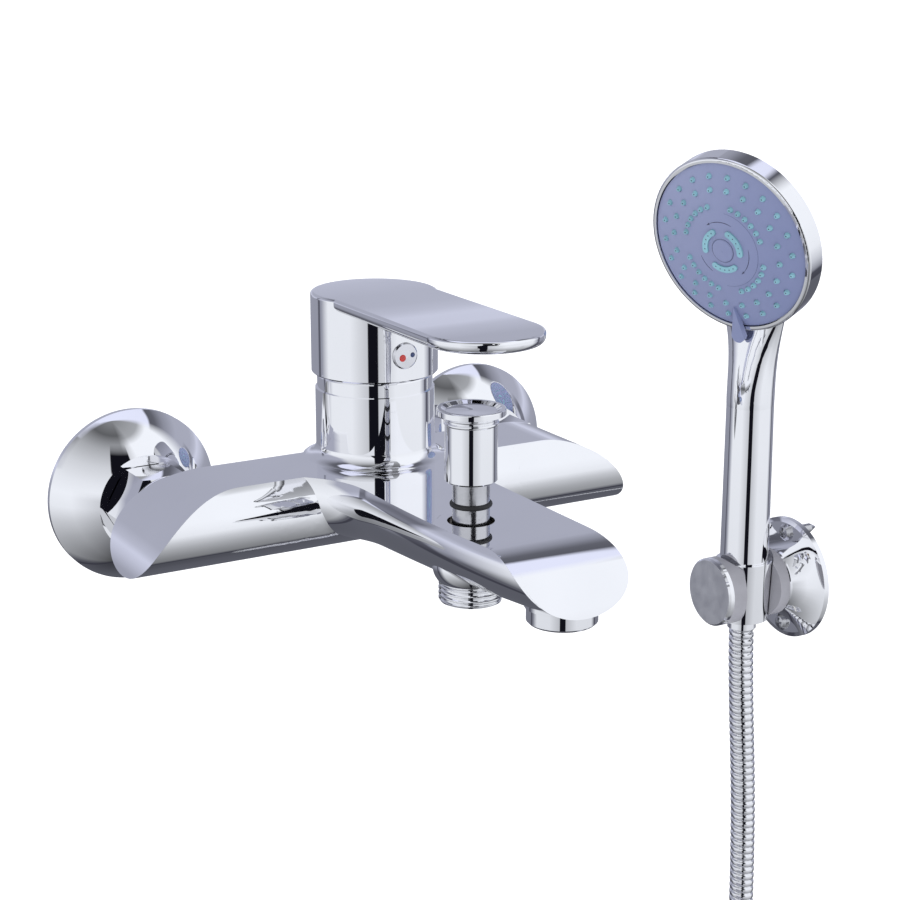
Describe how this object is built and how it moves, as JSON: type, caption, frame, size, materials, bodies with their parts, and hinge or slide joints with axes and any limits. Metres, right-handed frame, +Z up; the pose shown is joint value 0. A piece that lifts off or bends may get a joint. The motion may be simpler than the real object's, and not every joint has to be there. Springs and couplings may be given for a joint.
{
  "type": "shower mixer",
  "caption": "Wall bath and shower mixer with a single lever, swept arms, spout, pull-up diverter, hand shower in a swivel wall cradle and a coiled ribbed hose.",
  "frame": {"origin": "on the finished wall, midway between the two inlets of the mixer", "axes": "+Y into the wall behind the mixer, X along that wall to the user's right, +Z up"},
  "size_m": [0.3414, 0.2202, 0.4963],
  "materials": {
    "chrome": "polished chrome plating on cast brass",
    "brass": "turned",
    "steel": "turned",
    "chromed_plastic": "chrome plating on moulded plastic",
    "chromed_hose": "chromed spiral strip over a soft inner tube",
    "black_rubber": "matt",
    "ceramic": "ground and polished ceramic",
    "white_plastic": "moulded",
    "lilac_plastic": "satin moulding",
    "teal_rubber": "soft silicone",
    "grey_plastic": "satin moulding",
    "index_grey": "glossy"
  },
  "bodies": {
    "mixer": {"mixer_body": "chrome", "left_flange": "chrome", "right_flange": "chrome", "left_eccentric": "brass", "right_eccentric": "brass", "left_union_nut": "chrome", "right_union_nut": "chrome", "left_inlet_washer": "black_rubber", "right_inlet_washer": "black_rubber", "cartridge_body": "white_plastic", "cartridge_seals": "black_rubber", "fixed_disc": "ceramic", "cartridge_nut": "brass", "dome_ring": "chrome", "diverter_bush": "brass", "aerator_housing": "chrome", "aerator_insert": "white_plastic", "aerator_washer": "black_rubber", "bracket_body": "chrome", "bracket_screws": "steel"},
    "carrier": {"cartridge_carrier": "white_plastic", "stem_pin": "steel", "moving_disc": "ceramic"},
    "lever": {"lever_stem": "steel", "handle": "chrome", "grub_screw": "steel", "index_button": "index_grey"},
    "diverter": {"diverter_knob": "chrome", "diverter_stem": "steel", "diverter_o_ring": "black_rubber", "diverter_piston": "brass", "piston_seal": "black_rubber"},
    "cradle": {"cradle": "grey_plastic", "cradle_cap": "chrome", "cradle_screw": "steel"},
    "handset": {"handset_shell": "chromed_plastic", "spray_plate": "white_plastic", "selector_seal": "black_rubber", "hose_cone_nut": "chrome", "hose_top_ferrule": "brass", "hose_washers": "black_rubber", "hose_tube": "chromed_hose", "hose_coil": "chromed_hose", "hose_tie": "white_plastic", "hose_end_ferrule": "brass"},
    "spray_dial": {"spray_face": "lilac_plastic", "nozzle_mat": "teal_rubber", "massage_pads": "teal_rubber", "face_cap": "lilac_plastic"},
    "end_nut": {"hose_end_nut": "chrome"}
  },
  "joints": [
    {"name": "handle_turn", "type": "hinge", "parent": "mixer", "child": "carrier", "pos_m": [0, -0.06, 0.044], "axis": [0, 0, 1], "range_deg": [-45, 45]},
    {"name": "handle_lift", "type": "hinge", "parent": "carrier", "child": "lever", "pos_m": [0, -0.06, 0.044], "axis": [-1, 0, 0], "range_deg": [0, 20]},
    {"name": "diverter_pull", "type": "slide", "parent": "mixer", "child": "diverter", "axis": [0, 0, 1], "range_m": [-0.01, 0]},
    {"name": "cradle_swivel", "type": "hinge", "parent": "mixer", "child": "cradle", "pos_m": [0.2083, -0.038, -0.073], "axis": [1, 0, 0], "range_deg": [0, 40]},
    {"name": "handset_lift_out", "type": "slide", "parent": "cradle", "child": "handset", "axis": [0, 0, 1], "range_m": [0, 0.05]},
    {"name": "spray_select", "type": "hinge", "parent": "handset", "child": "spray_dial", "pos_m": [0.17469, -0.04427, 0.0807], "axis": [-0.9119, -0.2963, -0.284], "range_deg": [-40, 40]},
    {"name": "end_nut_spin", "type": "hinge", "parent": "handset", "child": "end_nut", "pos_m": [0.2, -0.0737, -0.357], "axis": [0, 0, 1], "continuous": true}
  ]
}
